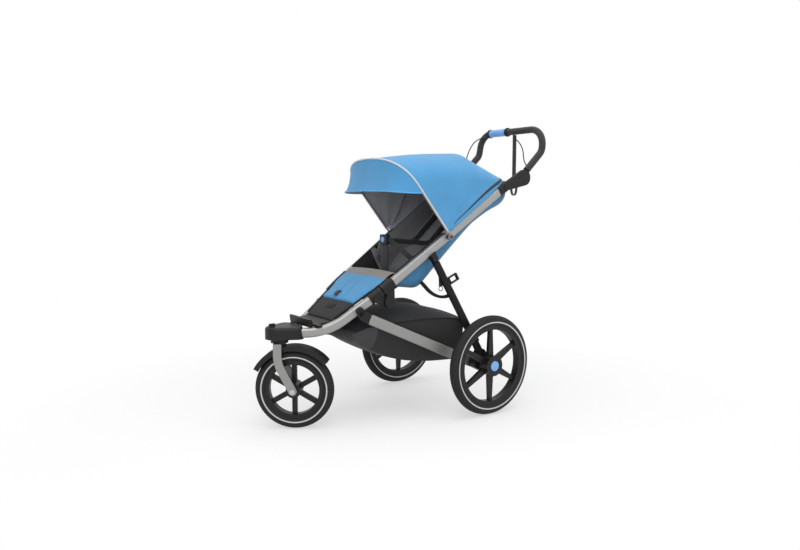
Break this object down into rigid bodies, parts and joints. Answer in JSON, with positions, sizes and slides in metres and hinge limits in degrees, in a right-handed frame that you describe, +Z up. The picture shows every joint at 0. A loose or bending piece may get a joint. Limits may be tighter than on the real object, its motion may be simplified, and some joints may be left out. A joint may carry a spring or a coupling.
{
  "type": "baby stroller",
  "caption": "Folding three-wheeled jogging stroller with reclining seat, swing canopy, tilting handlebar, cargo basket and swivel front wheel.",
  "frame": {"origin": "on the floor under the middle of the stroller's box", "axes": "+X forward towards the swivel wheel, +Y to the stroller's left, +Z up"},
  "size_m": [1.2858, 0.706, 1.183],
  "materials": {
    "tube_silver": "satin anodised",
    "leg_black_metal": "satin powder coat",
    "steel": "plated",
    "black_plastic": "moulded, fine grain",
    "blue_plastic": "moulded, semi-gloss",
    "foam_rubber": "closed-cell foam",
    "tyre_black": "moulded tread",
    "blue_cloth": "coated woven polyester",
    "grey_cloth": "quilted woven polyester",
    "dark_cloth": "woven polyester"
  },
  "bodies": {
    "upper_frame": {"upper_tube_left": "tube_silver", "upper_tube_right": "tube_silver", "upper_knuckles": "black_plastic", "hinge_pins": "steel", "knuckle_cross_tube": "tube_silver", "leg_brackets": "black_plastic", "handle_bracket_left": "black_plastic", "handle_bracket_right": "black_plastic", "canopy_studs": "steel", "recline_rod": "tube_silver", "seat_pan": "grey_cloth", "seat_sides": "dark_cloth", "crotch_pad": "dark_cloth", "buckle": "black_plastic", "waist_straps": "dark_cloth", "canopy_cover": "blue_cloth"},
    "backrest": {"backrest": "grey_cloth", "shoulder_pads": "dark_cloth"},
    "buckle_button": {"buckle_button": "blue_plastic"},
    "canopy_front": {"front_bow": "tube_silver", "visor": "blue_cloth"},
    "canopy_mid": {"mid_bow": "tube_silver"},
    "handlebar": {"handle_tube": "tube_silver", "grip_left": "foam_rubber", "grip_right": "foam_rubber", "brake_cable_left": "foam_rubber", "brake_cable_right": "foam_rubber", "wrist_strap": "dark_cloth"},
    "twist_brake": {"twist_sleeve": "blue_plastic"},
    "front_frame": {"lower_tube_left": "tube_silver", "lower_tube_right": "tube_silver", "lower_knuckles": "black_plastic", "stay_lugs": "black_plastic", "yoke": "black_plastic", "footrest": "black_plastic", "leg_panel": "blue_cloth"},
    "swivel_lock": {"lock_knob": "black_plastic"},
    "fork": {"fork_crown": "black_plastic", "fork_blade_left": "tube_silver", "fork_blade_right": "tube_silver", "fender": "black_plastic", "front_axle": "steel"},
    "front_wheel": {"front_tyre": "tyre_black", "front_rim": "black_plastic"},
    "legs": {"rear_leg_left": "leg_black_metal", "rear_leg_right": "leg_black_metal", "axle_housings": "black_plastic", "rear_axle": "tube_silver", "carry_loop": "black_plastic"},
    "parking_brake": {"brake_pedal": "black_plastic"},
    "stays": {"stay_left": "tube_silver", "stay_right": "tube_silver", "stay_caps": "black_plastic", "basket": "dark_cloth"},
    "rear_wheel_left": {"rear_tyre_left": "tyre_black", "rear_rim_left": "black_plastic"},
    "rear_wheel_right": {"rear_tyre_right": "tyre_black", "rear_rim_right": "black_plastic"},
    "hub_button_left": {"hub_button_left": "blue_plastic"},
    "hub_button_right": {"hub_button_right": "blue_plastic"}
  },
  "joints": [
    {"name": "fold", "type": "hinge", "parent": "upper_frame", "child": "front_frame", "pos_m": [0.17075, 0, 0.46885], "axis": [0, 1, 0], "range_deg": [0, 100], "deforming": ["basket"]},
    {"name": "leg_fold", "type": "hinge", "parent": "upper_frame", "child": "legs", "pos_m": [-0.0296, 0, 0.62773], "axis": [0, 1, 0], "range_deg": [0, 36.2]},
    {"name": "stay_fold", "type": "hinge", "parent": "legs", "child": "stays", "pos_m": [-0.17586, 0, 0.205], "axis": [0, 1, 0], "range_deg": [-11.1, 0]},
    {"name": "recline", "type": "hinge", "parent": "upper_frame", "child": "backrest", "pos_m": [-0.00386, 0, 0.53], "axis": [0, -1, 0], "range_deg": [-17, 0]},
    {"name": "buckle_press", "type": "slide", "parent": "upper_frame", "child": "buckle_button", "axis": [-1, 0, 0], "range_m": [0, 0.003], "stiffness_N_per_m": 600},
    {"name": "canopy_swing", "type": "hinge", "parent": "upper_frame", "child": "canopy_front", "pos_m": [-0.09686, 0, 0.711], "axis": [0, -1, 0], "range_deg": [-20, 60], "deforming": ["canopy_cover"]},
    {"name": "canopy_follow", "type": "hinge", "parent": "upper_frame", "child": "canopy_mid", "pos_m": [-0.09686, 0, 0.711], "axis": [0, -1, 0], "range_deg": [-1, 3]},
    {"name": "handle_tilt", "type": "hinge", "parent": "upper_frame", "child": "handlebar", "pos_m": [-0.48386, 0, 0.951], "axis": [0, -1, 0], "range_deg": [-10, 75]},
    {"name": "twist_brake", "type": "hinge", "parent": "handlebar", "child": "twist_brake", "pos_m": [-0.62586, 0, 1.166], "axis": [0, 1, 0], "range_deg": [0, 60], "stiffness_Nm_per_rad": 0.6},
    {"name": "swivel", "type": "hinge", "parent": "front_frame", "child": "fork", "pos_m": [0.55014, 0, 0.366], "axis": [0, 0, 1], "continuous": true},
    {"name": "swivel_lock", "type": "hinge", "parent": "front_frame", "child": "swivel_lock", "pos_m": [0.58014, 0, 0.389], "axis": [0, 0, 1], "range_deg": [0, 90]},
    {"name": "front_spin", "type": "hinge", "parent": "fork", "child": "front_wheel", "pos_m": [0.5068, 0.03386, 0.15], "axis": [0.6157, 0.788, 0], "continuous": true},
    {"name": "rear_spin_left", "type": "hinge", "parent": "legs", "child": "rear_wheel_left", "pos_m": [-0.21586, 0.32, 0.2], "axis": [0, 1, 0], "continuous": true},
    {"name": "rear_spin_right", "type": "hinge", "parent": "legs", "child": "rear_wheel_right", "pos_m": [-0.21586, -0.32, 0.2], "axis": [0, 1, 0], "continuous": true},
    {"name": "brake_pedal", "type": "hinge", "parent": "legs", "child": "parking_brake", "pos_m": [-0.21586, 0, 0.2], "axis": [0, -1, 0], "range_deg": [0, 25]},
    {"name": "hub_release_left", "type": "slide", "parent": "rear_wheel_left", "child": "hub_button_left", "axis": [0, -1, 0], "range_m": [0, 0.0025], "stiffness_N_per_m": 600},
    {"name": "hub_release_right", "type": "slide", "parent": "rear_wheel_right", "child": "hub_button_right", "axis": [0, 1, 0], "range_m": [0, 0.0025], "stiffness_N_per_m": 600}
  ],
  "couplings": [
    {"joint": "leg_fold", "follows": "fold", "ratio": 0.3619},
    {"joint": "stay_fold", "follows": "fold", "ratio": -0.1106},
    {"joint": "canopy_follow", "follows": "canopy_swing", "ratio": 0.05}
  ]
}
